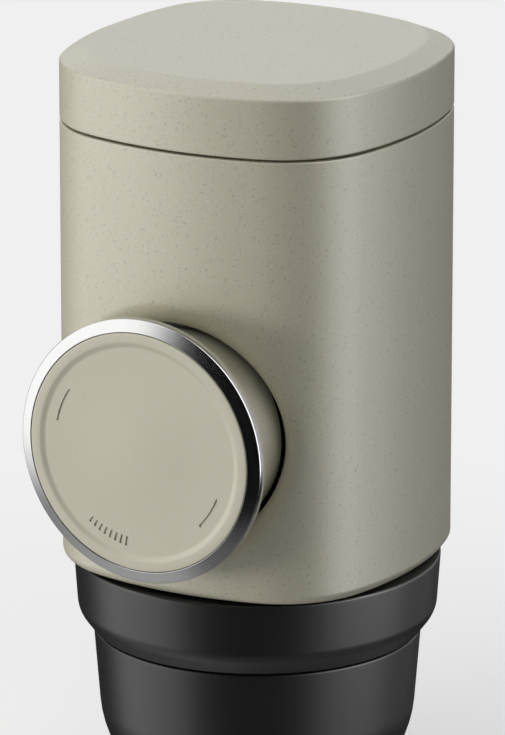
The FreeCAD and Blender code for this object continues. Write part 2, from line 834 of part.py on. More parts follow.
def make_knob_ring():
    """Bright bevelled ring around the face."""
    inner = face_radius + fit_gap
    seat = inner - ring_seat_width
    return to_knob_axis(lathe([(seat, ring_back_u), (ring_radius, ring_back_u),
                               (ring_radius, ring_front_u), (inner, face_u),
                               (inner, ring_front_u), (seat, ring_front_u)]))


def make_knob_face():
    """Disc with a raised border, a sunk band for the marks and a low crown."""
    spigot = face_radius - ring_seat_width
    band_outer = face_radius - face_border_width
    band_inner = band_outer - face_groove_width
    sunk = face_u - face_groove_depth
    face = lathe([(0, ring_back_u), (spigot, ring_back_u), (spigot, ring_front_u),
                  (face_radius, ring_front_u), (face_radius, face_u - seam_rounding / 2),
                  (face_radius - seam_rounding / 2, face_u),
                  (band_outer, face_u), (band_outer - face_groove_depth, sunk),
                  (band_inner, sunk), dome(band_inner, sunk, face_crown)])
    mark_mid = band_outer - mark_setin
    for n in range(tick_count):
        length = tick_shortest + (tick_longest - tick_shortest) * n / (tick_count - 1)
        tick = Part.makeBox(length, mark_width, mark_depth * 2,
                            Vector(mark_mid - length / 2, -mark_width / 2, sunk - mark_depth))
        face = face.cut(spun(tick, tick_first_angle + n * tick_pitch_angle))
    for angle in dash_angles:
        face = face.cut(sector(mark_mid + mark_width / 2, mark_mid - mark_width / 2,
                               sunk - mark_depth, sunk + mark_depth, angle, dash_sweep))
    return to_knob_axis(face)


def make_knob_hub():
    """Hub that turns on the rod and carries the lock's lugs."""
    ledge = rod_front_u
    counterbore = knob_screw_head_radius + free_gap
    bore = rod_radius + running_gap
    hub = lathe([(bore, lug_back_u), (hub_radius, lug_back_u), (hub_radius, web_back_u),
                 (counterbore, web_back_u), (counterbore, ledge), (bore, ledge)])
    for n in range(lock_lugs):
        hub = hub.fuse(sector(lug_radius, hub_radius - 1, lug_back_u, lug_front_u,
                              90 + n * 360 / lock_lugs, lug_sweep))
    return to_knob_axis(hub.removeSplitter())


def make_knob_screw():
    """Shouldered screw in the rod's end that keeps the hub on."""
    screw = pan_screw(knob_screw_radius - fit_gap, knob_screw_head_radius,
                      knob_screw_head_height, knob_screw_length)
    return to_knob_axis(moved(screw, 0, 0, rod_front_u + face_gap))


# ================================================================= water tank
def make_tank_cap():
    """Cap of the body's section with a low chamfered top."""
    wall = square_prism(0, cap_base_z, cap_shoulder_z)
    top = Part.makeLoft([rounded_square(0, cap_shoulder_z),
                         rounded_square(cap_chamfer_inset, cap_top_z)], True, True)
    cap = wall.fuse(top).removeSplitter()
    seam = [e for e in cap.Edges if e.BoundBox.ZMax < cap_base_z + 1e-3]
    cap = cap.makeFillet(seam_rounding, seam)
    return cap.cut(square_prism(shell_wall, cap_base_z - 1, cap_ceiling_z))


def make_tank_vessel():
    """Water vessel, mouth down, threaded into the socket."""
    inner = vessel_radius - vessel_wall
    shoulder_inner = vessel_shoulder_radius - vessel_wall
    step = vessel_shoulder_z + vessel_wall
    vessel = lathe([(inner, vessel_mouth_z), (vessel_radius, vessel_mouth_z),
                    (vessel_radius, vessel_shoulder_z), (vessel_shoulder_radius, vessel_shoulder_z),
                    (vessel_shoulder_radius, vessel_top_z), (0, vessel_top_z),
                    (0, vessel_top_z - vessel_wall), (shoulder_inner, vessel_top_z - vessel_wall),
                    (shoulder_inner, step), (inner, step)])
    thread_z = vessel_mouth_z + vessel_thread_rise
    for ridge in thread_ridges(vessel_radius - vessel_wall / 2,
                               vessel_radius + thread_depth, thread_z):
        vessel = vessel.fuse(ridge)
    return vessel.removeSplitter()


def make_tank_gasket():
    """Flat ring under the vessel's mouth."""
    z0 = socket_floor_z + face_gap
    return tube(vessel_radius, vessel_radius - tank_gasket_width, z0,
                z0 + tank_gasket_thickness)


def make_inlet_filter():
    """Fine steel disc over the inlet, let into the socket's floor."""
    disc = rod(filter_radius, socket_floor_z - filter_thickness, socket_floor_z, 0, valve_y)
    pitch = filter_radius / 4
    hole = rod(pitch / 4, socket_floor_z - 2 * filter_thickness, socket_floor_z + 1, 0, valve_y)
    for i in range(-3, 4):
        for j in range(-3, 4):
            if math.hypot(i, j) <= 3:
                disc = disc.cut(moved(hole, i * pitch, j * pitch, 0))
    return disc


def make_air_valve():
    """Rubber umbrella that lets air into the tank as water is drawn."""
    stem = air_valve_stem_radius
    bulb = stem + air_valve_bulb
    barb_z = frame_top_z - face_gap
    profile = [(0, barb_z - 2 * air_valve_bulb), (stem, barb_z - 2 * air_valve_bulb),
               (bulb, barb_z), (stem, barb_z), (stem, socket_floor_z),
               (air_valve_radius, socket_floor_z),
               dome(air_valve_radius, socket_floor_z, air_valve_dome)]
    return moved(lathe(profile), 0, air_valve_y, 0)


# ============================================================= outlet and cup
def make_outlet_collar():
    """Grip ring with a chamfered lower edge."""
    rounding = collar_top_rounding
    bend = rounding * (1 - math.sqrt(0.5))
    bore = sleeve_radius + fit_gap
    inner = collar_wall_radius - collar_wall
    return lathe([(bore, collar_base_z), (collar_low_radius, collar_base_z),
                  (collar_wall_radius, collar_wall_z),
                  (collar_radius, collar_top_z - rounding),
                  ((collar_radius - bend, collar_top_z - bend),
                   (collar_radius - rounding, collar_top_z)),
                  (inner, collar_top_z), (inner, collar_wall_z), (bore, collar_wall_z)])


def make_outlet_body():
    """Threaded sleeve, cup spigot and floor of the outlet head."""
    bore = holder_mouth_radius + free_gap
    step_z = boss_end_z - 2 * face_gap
    sleeve_top = collar_top_z - free_gap
    seal_top = (cup_rim_z + spigot_end_z) / 2 + cup_seal_width / 2 + face_gap
    seal_base = seal_top - cup_seal_width - 2 * face_gap
    groove = spigot_radius - cup_seal_depth
    funnel = capsule_body_radius - 1
    body = lathe([(spout_bore_radius, spigot_end_z), (spigot_radius, spigot_end_z),
                  (spigot_radius, seal_base), (groove, seal_base), (groove, seal_top),
                  (spigot_radius, seal_top), (spigot_radius, collar_base_z),
                  (sleeve_radius, collar_base_z), (sleeve_radius, sleeve_top),
                  (sleeve_bore_radius, sleeve_top), (sleeve_bore_radius, step_z),
                  (bore, step_z), (bore, outlet_floor_z), (funnel, outlet_floor_z),
                  (spout_bore_radius, outlet_floor_z - outlet_floor / 2)])
    thread_z = boss_end_z + boss_thread_rise + ridge_spacing / 2
    for ridge in thread_ridges(sleeve_bore_radius + sleeve_wall / 2,
                               boss_radius + thread_gap, thread_z):
        body = body.fuse(ridge)
    return body.removeSplitter()


def make_outlet_gasket():
    """Thin ring between the boss's end and the holder's shelf."""
    z0 = holder_shelf_z
    return tube(holder_mouth_radius - face_gap, boss_bore_radius + face_gap,
                z0 + face_gap / 2, z0 + face_gap / 2 + outlet_gasket_thickness)


def make_capsule_holder():
    """Mouth-down cup that holds the capsule under the needles."""
    base_z = holder_top_z - holder_base
    flange_z = holder_mouth_z + capsule_flange_depth
    return lathe([(capsule_flange_radius, holder_mouth_z), (holder_mouth_radius, holder_mouth_z),
                  (holder_mouth_radius, holder_shelf_z), (holder_radius, holder_shelf_z),
                  (holder_radius, holder_wall_top_z), (holder_neck_radius, holder_cone_top_z),
                  (holder_neck_radius, holder_top_z), (holder_hole_radius, holder_top_z),
                  (holder_hole_radius, base_z), (capsule_neck_radius, base_z),
                  (capsule_neck_radius, holder_cone_top_z - holder_wall / 2),
                  (capsule_body_radius, holder_wall_top_z - holder_wall / 2),
                  (capsule_body_radius, flange_z), (capsule_flange_radius, flange_z)])


def make_pierce_plate():
    """Steel plate with a grid of points and drain holes under the capsule."""
    radius = holder_mouth_radius - face_gap
    top = outlet_floor_z + pierce_plate_thickness
    plate = rod(radius, outlet_floor_z, top)
    pitch = capsule_body_radius / 4
    point = Part.makeCone(pitch / 3, pitch / 10, pierce_point_height, Vector(0, 0, top))
    hole = rod(pitch / 6, outlet_floor_z - 1, top + 1)
    for i in range(-3, 4):
        for j in range(-3, 4):
            if math.hypot(i, j) * pitch < capsule_body_radius - pitch / 2:
                plate = plate.fuse(moved(point, i * pitch, j * pitch, 0))
                plate = plate.cut(moved(hole, (i + 0.5) * pitch, (j + 0.5) * pitch, 0))
    return plate


def make_spout():
    """Nozzle under the outlet head's floor."""
    low = spigot_end_z - spout_flange - spout_length
    flange_base = spigot_end_z - spout_flange
    return lathe([(spout_bore_radius, low), (spout_radius * 0.8, low),
                  (spout_radius, flange_base), (spout_flange_radius, flange_base),
                  (spout_flange_radius, spigot_end_z), (spout_bore_radius, spigot_end_z)])


def make_cup_seal():
    """Ring in the spigot's groove that grips the cup."""
    middle = (cup_rim_z + spigot_end_z) / 2
    groove = spigot_radius - cup_seal_depth
    return tube(cup_bore_radius - running_gap, groove + fit_gap,
                middle - cup_seal_width / 2, middle + cup_seal_width / 2)


def make_cup():
    """Cup with a drafted wall and a large rounded lower corner."""
    draft = math.radians(cup_draft)
    start_radius = cup_rim_radius - (cup_height - cup_corner_start) * math.tan(draft)
    centre_r = start_radius - cup_corner_radius * math.cos(draft)
    centre_z = cup_corner_start + cup_corner_radius * math.sin(draft)

    def on_arc(radius, z):
        return centre_r + math.sqrt(radius ** 2 - (centre_z - z) ** 2)

    inner_arc = cup_corner_radius - cup_wall
    foot_radius = on_arc(cup_corner_radius, 0)
    floor_radius = on_arc(inner_arc, cup_floor)
    mid_z = cup_corner_start / 3
    inner_mid_z = (cup_floor + centre_z) / 3
    return lathe([(0, 0), (foot_radius, 0),
                  ((on_arc(cup_corner_radius, mid_z), mid_z), (start_radius, cup_corner_start)),
                  (cup_rim_radius, cup_height), (cup_bore_radius, cup_height),
                  (cup_bore_radius, centre_z + cup_wall / 2), (centre_r + inner_arc, centre_z),
                  ((on_arc(inner_arc, inner_mid_z), inner_mid_z), (floor_radius, cup_floor)),
                  (0, cup_floor)])


pieces = {
    "body_shell": make_body_shell(),
    "pump_frame": make_pump_frame(),
    "tank_socket": make_tank_socket(),
    "brew_head": make_brew_head(),
    "pump_cylinder": make_pump_cylinder(),
    "cylinder_gasket": make_cylinder_gasket(),
    "valve_block": make_valve_block(),
    "inlet_valve_seat": make_valve_seat("inlet"),
    "inlet_valve_ball": make_valve_ball("inlet"),
    "inlet_valve_spring": make_valve_spring("inlet"),
    "outlet_valve_seat": make_valve_seat("outlet"),
    "outlet_valve_ball": make_valve_ball("outlet"),
    "outlet_valve_spring": make_valve_spring("outlet"),
    "outlet_valve_plug": make_valve_plug(),
    "inlet_passage_gasket": make_passage_gasket(block_top_z),
    "outlet_passage_gasket": make_passage_gasket(block_base_z - gasket_thickness),
    "inlet_filter": make_inlet_filter(),
    "air_valve": make_air_valve(),
    "knob_guide": make_knob_guide(),
    "guide_screws": make_guide_screws(),
    "socket_screws": make_socket_screws(),
    "brew_head_screws": make_brew_head_screws(),
    "needle_plate": make_needle_plate(),
    "needle_plate_screw": make_needle_screw(),
    "brew_seal": make_brew_seal(),
    "plunger_rod": make_plunger_rod(),
    "pump_piston": make_pump_piston(),
    "piston_seal": make_piston_seal(),
    "return_spring": make_return_spring(),
    "knob_screw": make_knob_screw(),
    "knob_skirt": make_knob_skirt(),
    "knob_ring": make_knob_ring(),
    "knob_face": make_knob_face(),
    "knob_hub": make_knob_hub(),
    "tank_gasket": make_tank_gasket(),
    "tank_cap": make_tank_cap(),
    "tank_vessel": make_tank_vessel(),
    "outlet_gasket": make_outlet_gasket(),
    "outlet_collar": make_outlet_collar(),
    "outlet_body": make_outlet_body(),
    "capsule_holder": make_capsule_holder(),
    "pierce_plate": make_pierce_plate(),
    "outlet_spout": make_spout(),
    "cup_seal": make_cup_seal(),
    "coffee_cup": make_cup(),
}

os.makedirs("parts", exist_ok=True)
for name, shape in pieces.items():
    shape.exportStep(os.path.join("parts", name + ".step"))
    print(name, "solids", len(shape.Solids), "valid", shape.isValid(),
          "volume", round(shape.Volume, 1))
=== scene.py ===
import bpy
import json
from math import atan2, cos, pi, radians, sin, sqrt, tan
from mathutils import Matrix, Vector


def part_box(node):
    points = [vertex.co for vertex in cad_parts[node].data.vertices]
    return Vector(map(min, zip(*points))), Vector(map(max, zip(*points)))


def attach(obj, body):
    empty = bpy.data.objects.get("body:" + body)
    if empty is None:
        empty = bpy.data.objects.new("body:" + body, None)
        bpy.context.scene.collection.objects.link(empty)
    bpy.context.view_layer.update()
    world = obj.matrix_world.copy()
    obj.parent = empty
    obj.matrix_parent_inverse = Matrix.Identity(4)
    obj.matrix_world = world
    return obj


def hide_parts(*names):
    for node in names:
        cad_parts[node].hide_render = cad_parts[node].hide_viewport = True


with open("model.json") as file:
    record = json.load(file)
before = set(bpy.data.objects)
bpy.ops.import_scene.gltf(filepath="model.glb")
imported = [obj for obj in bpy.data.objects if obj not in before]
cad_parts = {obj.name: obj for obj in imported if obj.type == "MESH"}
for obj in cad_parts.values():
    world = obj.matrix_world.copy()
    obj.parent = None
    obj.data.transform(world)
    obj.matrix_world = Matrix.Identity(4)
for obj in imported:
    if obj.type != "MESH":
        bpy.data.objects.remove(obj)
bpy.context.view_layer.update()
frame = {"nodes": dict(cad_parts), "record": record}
nodes = frame["nodes"]
mm = 0.001

# The knob pushes along Y, at this height above the table.
ringLow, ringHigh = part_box("knob_ring")
knobAxisZ = (ringLow.z + ringHigh.z) / 2


# Camera. An azimuth counts degrees round from straight in front of the knob.
cameraSettings = {
    "azimuth": 29.09,
    "elevation": 17.07,
    "distance": 1.1514,
    "lens": 328.73,
    "aimHeight": 0.07593,
    "aimAside": -0.000856,
    "farthest": 20,
}


def wayOut(s):
    azimuth, elevation = radians(s["azimuth"]), radians(s["elevation"])
    return Vector((sin(azimuth) * cos(elevation), -cos(azimuth) * cos(elevation), sin(elevation)))


def lookBack(thing, way):
    thing.rotation_mode = "QUATERNION"
    thing.rotation_quaternion = (-way).to_track_quat("-Z", "Y")


def makeCamera(s):
    way = wayOut(s)
    right = Vector((cos(radians(s["azimuth"])), sin(radians(s["azimuth"])), 0))
    aim = Vector((0, 0, s["aimHeight"])) + right * s["aimAside"]
    bpy.ops.object.camera_add(location=aim + way * s["distance"])
    camera = bpy.context.object
    camera.name = "camera"
    lookBack(camera, way)
    camera.data.lens = s["lens"]
    camera.data.clip_end = s["farthest"]
    bpy.context.scene.camera = camera


makeCamera(cameraSettings)
bpy.context.scene.view_settings.view_transform = "Standard"
print("camera placed")


# Node helpers. What feeds a socket is another node's output, a colour or a number.
def addNode(tree, kind, x, y, **values):
    node = tree.nodes.new(kind)
    node.location = (x, y)
    for key, value in values.items():
        setattr(node, key, value)
    return node


def feed(tree, value, socket):
    if isinstance(value, bpy.types.NodeSocket):
        tree.links.new(value, socket)
    elif socket.type == "RGBA":
        socket.default_value = (*value, 1)
    else:
        socket.default_value = value


def newMaterial(name):
    material = bpy.data.materials.new(name)
    material.use_nodes = True
    tree = material.node_tree
    place = addNode(tree, "ShaderNodeTexCoord", -1500, 0).outputs["Object"]
    return material, tree, tree.nodes["Principled BSDF"], place


def mappedFrom(tree, source, x, y, **values):
    mapping = addNode(tree, "ShaderNodeMapping", x, y)
    feed(tree, source, mapping.inputs["Vector"])
    for key, value in values.items():
        feed(tree, value, mapping.inputs[key])
    return mapping.outputs["Vector"]


def noiseFrom(tree, source, s, x, y):
    noise = addNode(tree, "ShaderNodeTexNoise", x, y)
    feed(tree, source, noise.inputs["Vector"])
    feed(tree, s["scale"], noise.inputs["Scale"])
    feed(tree, s["detail"], noise.inputs["Detail"])
    feed(tree, s["roughness"], noise.inputs["Roughness"])
    return noise.outputs["Fac"]


def maskFrom(tree, source, none, full, x, y):
    ramp = addNode(tree, "ShaderNodeValToRGB", x, y)
    stops = sorted([(none, (0, 0, 0, 1)), (full, (1, 1, 1, 1))])
    for point, (position, colour) in zip(ramp.color_ramp.elements, stops):
        point.position = position
        point.color = colour
    feed(tree, source, ramp.inputs["Fac"])
    return ramp.outputs["Color"]


def mixFrom(tree, kind, factor, first, second, x, y):
    mix = addNode(tree, "ShaderNodeMix", x, y, data_type=kind)
    feed(tree, factor, mix.inputs["Factor"])
    feed(tree, first, mix.inputs["A"])
    feed(tree, second, mix.inputs["B"])
    return mix.outputs["Result"]


def mathFrom(tree, operation, x, y, *values):
    node = addNode(tree, "ShaderNodeMath", x, y, operation=operation)
    for value, socket in zip(values, node.inputs):
        feed(tree, value, socket)
    return node.outputs[0]


def rangeFrom(tree, source, span, levels, x, y, kind="LINEAR"):
    spread = addNode(tree, "ShaderNodeMapRange", x, y, interpolation_type=kind)
    feed(tree, source, spread.inputs["Value"])
    for key, value in zip(("From Min", "From Max", "To Min", "To Max"), (*span, *levels)):
        feed(tree, value, spread.inputs[key])
    return spread.outputs["Result"]


def smoothFrom(tree, source, span, levels, x, y):
    return rangeFrom(tree, source, span, levels, x, y, "SMOOTHSTEP")


def bumpInto(tree, shader, height, bump, x, y):
    strength, depth = bump
    node = addNode(tree, "ShaderNodeBump", x, y)
    feed(tree, strength, node.inputs["Strength"])
    feed(tree, depth, node.inputs["Distance"])
    feed(tree, height, node.inputs["Height"])
    feed(tree, node.outputs["Normal"], shader.inputs["Normal"])


# Finishes. A finish is rough between its two values. A bump is its strength and its depth
# in metres.
noiseSpan = (0, 1)

sandPlastic = {
    "pale": (0.515, 0.494, 0.376),
    "deep": (0.485, 0.463, 0.349),
    "cloud": {"scale": 55, "detail": 2, "roughness": 0.5},
    # Flecks grow from none to full between these values of their noise.
    "flecks": (
        {"colour": (0.24, 0.225, 0.17), "none": 0.37, "full": 0.30,
         "scale": 2050, "detail": 1.5, "roughness": 0.7},
        {"colour": (0.38, 0.31, 0.22), "none": 0.68, "full": 0.74,
         "scale": 1271, "detail": 1, "roughness": 0.6},
        {"colour": (0.60, 0.59, 0.50), "none": 0.66, "full": 0.74,
         "scale": 2767.5, "detail": 1, "roughness": 0.6},
    ),
    "grain": {"scale": 3800, "detail": 3, "roughness": 0.6},
    "rough": (0.40, 0.52),
    "specular": 1.0,
    "ior": 1.7,
    "bump": (0.22, 0.00005),
}
fleckShare = 0.66
faceFleckShare = 0.12          # the knob's face is almost clear of flecks


def makeSandPlastic(name, s, share):
    material, tree, shader, place = newMaterial(name)
    cloud = noiseFrom(tree, place, s["cloud"], -1300, 500)
    colour = mixFrom(tree, "RGBA", cloud, s["pale"], s["deep"], -1000, 500)
    for number, fleck in enumerate(s["flecks"]):
        y = 200 - 300 * number
        specks = noiseFrom(tree, place, fleck, -1300, y)
        mask = maskFrom(tree, specks, fleck["none"], fleck["full"], -1000, y)
        weaker = mathFrom(tree, "MULTIPLY", -700, y, mask, share)
        colour = mixFrom(tree, "RGBA", weaker, colour, fleck["colour"], -650 + 200 * number, 400)
    feed(tree, colour, shader.inputs["Base Color"])
    grain = noiseFrom(tree, place, s["grain"], -1300, -700)
    rough = rangeFrom(tree, grain, noiseSpan, s["rough"], -700, -700)
    feed(tree, rough, shader.inputs["Roughness"])
    feed(tree, s["specular"], shader.inputs["Specular IOR Level"])
    feed(tree, s["ior"], shader.inputs["IOR"])
    bumpInto(tree, shader, grain, s["bump"], -700, -1000)
    return material


mouldedCloud = {"scale": 90, "detail": 3, "roughness": 0.5}

blackPlastic = {
    "pale": (0.006, 0.006, 0.006),
    "deep": (0.010, 0.010, 0.010),
    "grain": {"scale": 4200, "detail": 3, "roughness": 0.6},
    "rough": (0.31, 0.41),
    "specular": 0.78,
    "bump": (0.10, 0.00005),
}
greyPlastic = {
    "pale": (0.030, 0.030, 0.032),
    "deep": (0.038, 0.038, 0.040),
    "grain": {"scale": 2600, "detail": 3, "roughness": 0.6},
    "rough": (0.45, 0.55),
    "specular": 0.5,
    "bump": (0.20, 0.00005),
}
vesselPlastic = {
    "pale": (0.020, 0.020, 0.020),
    "deep": (0.027, 0.027, 0.026),
    "grain": {"scale": 1800, "detail": 3, "roughness": 0.6},
    "rough": (0.20, 0.30),
    "specular": 0.5,
    "bump": (0.06, 0.00005),
}
sealRubber = {
    "pale": (0.30, 0.29, 0.26),
    "deep": (0.34, 0.33, 0.30),
    "grain": {"scale": 2200, "detail": 3, "roughness": 0.6},
    "rough": (0.57, 0.67),
    "specular": 0.35,
    "bump": (0.25, 0.00005),
}


def makeMoulded(name, s):
    material, tree, shader, place = newMaterial(name)
    cloud = noiseFrom(tree, place, mouldedCloud, -1000, 300)
    colour = mixFrom(tree, "RGBA", cloud, s["pale"], s["deep"], -700, 300)
    feed(tree, colour, shader.inputs["Base Color"])
    grain = noiseFrom(tree, place, s["grain"], -1000, -100)
    rough = rangeFrom(tree, grain, noiseSpan, s["rough"], -700, 0)
    feed(tree, rough, shader.inputs["Roughness"])
    feed(tree, s["specular"], shader.inputs["Specular IOR Level"])
    bumpInto(tree, shader, grain, s["bump"], -700, -300)
    return material


ringMetal = {
    "pale": (0.50, 0.50, 0.497),
    "deep": (0.48, 0.48, 0.47712),
    "smear": {"scale": 700, "detail": 3, "roughness": 0.5},
    "rough": (0.14, 0.23),
    "turningScale": 454.5454,  # turning marks 0.69 mm apart
    "turningWaver": 0.4,
    "bump": (0.05, 0.00002),
}


def makeRingMetal(s):
    material, tree, shader, place = newMaterial("turnedBrightMetal")
    # Flat along the knob's axis, so that the turning marks run round it.
    centred = mappedFrom(tree, place, -1200, -200, Location=(0, 0, -knobAxisZ), Scale=(1, 0, 1))
    turning = addNode(tree, "ShaderNodeTexWave", -1000, -200, wave_type="RINGS",
                      rings_direction="SPHERICAL")
    feed(tree, centred, turning.inputs["Vector"])
    feed(tree, s["turningScale"], turning.inputs["Scale"])
    feed(tree, s["turningWaver"], turning.inputs["Distortion"])
    smear = noiseFrom(tree, place, s["smear"], -1000, 200)
    rough = rangeFrom(tree, smear, noiseSpan, s["rough"], -700, 200)
    feed(tree, rough, shader.inputs["Roughness"])
    colour = mixFrom(tree, "RGBA", smear, s["pale"], s["deep"], -700, 400)
    feed(tree, colour, shader.inputs["Base Color"])
    feed(tree, 1, shader.inputs["Metallic"])
    bumpInto(tree, shader, turning.outputs["Fac"], s["bump"], -700, -300)
    return material


brushedSteel = {
    "pale": (0.58, 0.58, 0.57),
    "deep": (0.68, 0.68, 0.66),
    "stretch": (1, 0.08, 1),
    "brushing": {"scale": 3000, "detail": 3, "roughness": 0.65},
    "rough": (0.24, 0.40),
    "bump": (0.1, 0.00002),
}


def makeSteel(s):
    material, tree, shader, place = newMaterial("brushedSteel")
    stretched = mappedFrom(tree, place, -1000, 0, Scale=s["stretch"])
    brushing = noiseFrom(tree, stretched, s["brushing"], -800, 0)
    colour = mixFrom(tree, "RGBA", brushing, s["pale"], s["deep"], -500, 300)
    feed(tree, colour, shader.inputs["Base Color"])
    rough = rangeFrom(tree, brushing, noiseSpan, s["rough"], -500, 0)
    feed(tree, rough, shader.inputs["Roughness"])
    feed(tree, 1, shader.inputs["Metallic"])
    bumpInto(tree, shader, brushing, s["bump"], -500, -300)
    return material


finishes = {
    "sand_plastic": makeSandPlastic("speckledSandPlastic", sandPlastic, fleckShare),
    "sand_face": makeSandPlastic("plainSandPlastic", sandPlastic, faceFleckShare),
    "ring_metal": makeRingMetal(ringMetal),
    "black_plastic": makeMoulded("satinBlackPlastic", blackPlastic),
    "grey_plastic": makeMoulded("mouldedGreyPlastic", greyPlastic),
    "vessel_plastic": makeMoulded("smokedVesselPlastic", vesselPlastic),
    "steel": makeSteel(brushedSteel),
    "seal_rubber": makeMoulded("sealRubber", sealRubber),
}


def dress(piece, finish):
    piece.data.materials.clear()
    piece.data.materials.append(finishes[finish])


for part in frame["record"]["subparts"]:
    dress(nodes[part["node"]], part["material_slot"])
print("finishes laid on", len(nodes), "frame nodes")


# Shaping helpers. A piece's own sizes are in millimetres, and its angles in degrees.
mergeGap = 0.002 * mm          # points nearer than this become one
levelGap = 0.01 * mm           # a face this near a height counts as at it
softSteps = 3                  # faces across a soft edge


def pickOnly(*pieces):
    bpy.ops.object.select_all(action="DESELECT")
    for piece in pieces:
        piece.select_set(True)
    bpy.context.view_layer.objects.active = pieces[0]


def startPiece(name, firstPoint):
    bpy.ops.object.select_all(action="DESELECT")
    bpy.ops.mesh.primitive_plane_add(size=mm)
    piece = bpy.context.object
    piece.name = piece.data.name = name
    bpy.ops.object.mode_set(mode="EDIT")
    bpy.ops.mesh.select_all(action="SELECT")
    bpy.ops.mesh.merge(type="CENTER")
    bpy.ops.transform.translate(value=firstPoint)
    return piece


def drawLine(points):
    for start, end in zip(points, points[1:]):
        bpy.ops.mesh.extrude_vertices_move(TRANSFORM_OT_translate={"value": end - start})


def extrudeUp(height):
    bpy.ops.mesh.extrude_region_move(TRANSFORM_OT_translate={"value": (0, 0, height * mm)})


def selectLevel(piece, height):
    bpy.ops.mesh.select_all(action="DESELECT")
    bpy.ops.object.mode_set(mode="OBJECT")
    for face in piece.data.polygons:
        face.select = abs(face.center.z - height * mm) < levelGap
    bpy.ops.object.mode_set(mode="EDIT")


def tidyMesh():
    bpy.ops.mesh.select_all(action="SELECT")
    bpy.ops.mesh.remove_doubles(threshold=mergeGap)
    bpy.ops.mesh.normals_make_consistent(inside=False)
    bpy.ops.object.mode_set(mode="OBJECT")


def spinLine(name, points, steps, centre, axis):
    piece = startPiece(name, points[0])
    drawLine(points)
    bpy.ops.mesh.select_all(action="SELECT")
    bpy.ops.mesh.spin(steps=steps, angle=2 * pi, center=centre, axis=axis)
    tidyMesh()
    return piece


# A profile is pairs: out from the axis, then along it.
def turnUpright(name, profile, steps):
    points = [Vector((r, 0, z)) * mm for r, z in profile]
    return spinLine(name, points, steps, (0, 0, 0), (0, 0, 1))


def turnOnKnob(name, profile, steps):
    points = [Vector((r * mm, -u * mm, knobAxisZ)) for r, u in profile]
    return spinLine(name, points, steps, (0, 0, knobAxisZ), (0, 1, 0))


def cutAway(piece, cutter):
    bpy.context.view_layer.objects.active = piece
    cut = piece.modifiers.new("cut", "BOOLEAN")
    cut.operation = "DIFFERENCE"
    cut.solver = "EXACT"
    cut.object = cutter
    bpy.ops.object.modifier_apply(modifier=cut.name)
    bpy.data.objects.remove(cutter, do_unlink=True)


def softenEdges(piece, s):
    bpy.context.view_layer.objects.active = piece
    bevel = piece.modifiers.new("softEdges", "BEVEL")
    bevel.width = s["softEdge"] * mm
    bevel.segments = softSteps
    bevel.limit_method = "ANGLE"
    bevel.angle_limit = radians(s["edgeAngle"])
    bpy.ops.object.modifier_apply(modifier=bevel.name)


def smoothFaces(piece, s):
    pickOnly(piece)
    bpy.ops.object.shade_smooth_by_angle(angle=radians(s["smoothAngle"]))
    # Large faces lead, so that flat walls stay even up to their soft edges.
    even = piece.modifiers.new("evenNormals", "WEIGHTED_NORMAL")
    even.keep_sharp = True
    bpy.ops.object.modifier_apply(modifier=even.name)


def settle(piece, finish, slotName, body, *stoodFor):
    dress(piece, finish)
    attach(piece, body)
    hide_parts(*stoodFor)
    print(piece.name, "made,", len(piece.data.polygons), "faces")


# Knob ring
knobRing = {
    "seat": 18.6, "inner": 20.80, "outer": 22.9,
    "back": 39.25, "edgeFront": 40.25, "crest": 41.1,
    "softEdge": 0.16, "edgeAngle": 18, "smoothAngle": 30, "steps": 192,
}


def makeKnobRing(s):
    piece = turnOnKnob("turnedKnobRing", [
        (s["seat"], s["back"]), (s["outer"], s["back"]), (s["outer"], s["edgeFront"]),
        (s["inner"], s["crest"]), (s["inner"], s["edgeFront"]), (s["seat"], s["edgeFront"]),
        (s["seat"], s["back"])], s["steps"])
    softenEdges(piece, s)
    smoothFaces(piece, s)
    settle(piece, "ring_metal", "ring_metal", "knob", "knob_ring")


makeKnobRing(knobRing)


# Knob face: a low crown, a sunk band with the marks, and a border. A slope is a few steps
# out and up from where it starts.
knobFace = {
    "radius": 20.74, "spigot": 18.54, "back": 39.25, "seatFront": 40.26,
    "border": 41.1, "borderInner": 18.95, "bandFloor": 40.75, "bandInner": 13.2,
    "crown": 41.0, "crownSteps": 12,
    "bandSlope": ((-1.0, 0), (-0.55, 0.06)),
    "borderSlope": ((-0.15, -0.07), (0.25, 0)),
    "rimSlope": ((-0.3, 0), (-0.08, -0.08), (0, -0.3)),
    "smoothAngle": 32, "steps": 192,
    "markRadius": 16.05, "markDepth": 0.3, "lineWidth": 0.45,
    "ticks": 8, "tickFirst": -125.0, "tickPitch": 3.75, "tickLengths": (1.1, 1.7),
    "tickSteps": 2, "dashAngles": (-32.5, 157.0), "dashSweep": 22.5, "dashSteps": 16,
}


def crownHeights(s):
    heights = []
    for n in range(s["crownSteps"] + 1):
        share = n / s["crownSteps"]
        rise = cos(share * pi) * 0.5 + 0.5
        height = s["bandFloor"] + (s["crown"] - s["bandFloor"]) * rise
        heights.append((share * s["bandInner"], height))
    return heights


def slopeFrom(radius, height, slope):
    return [(radius + out, height + up) for out, up in slope]


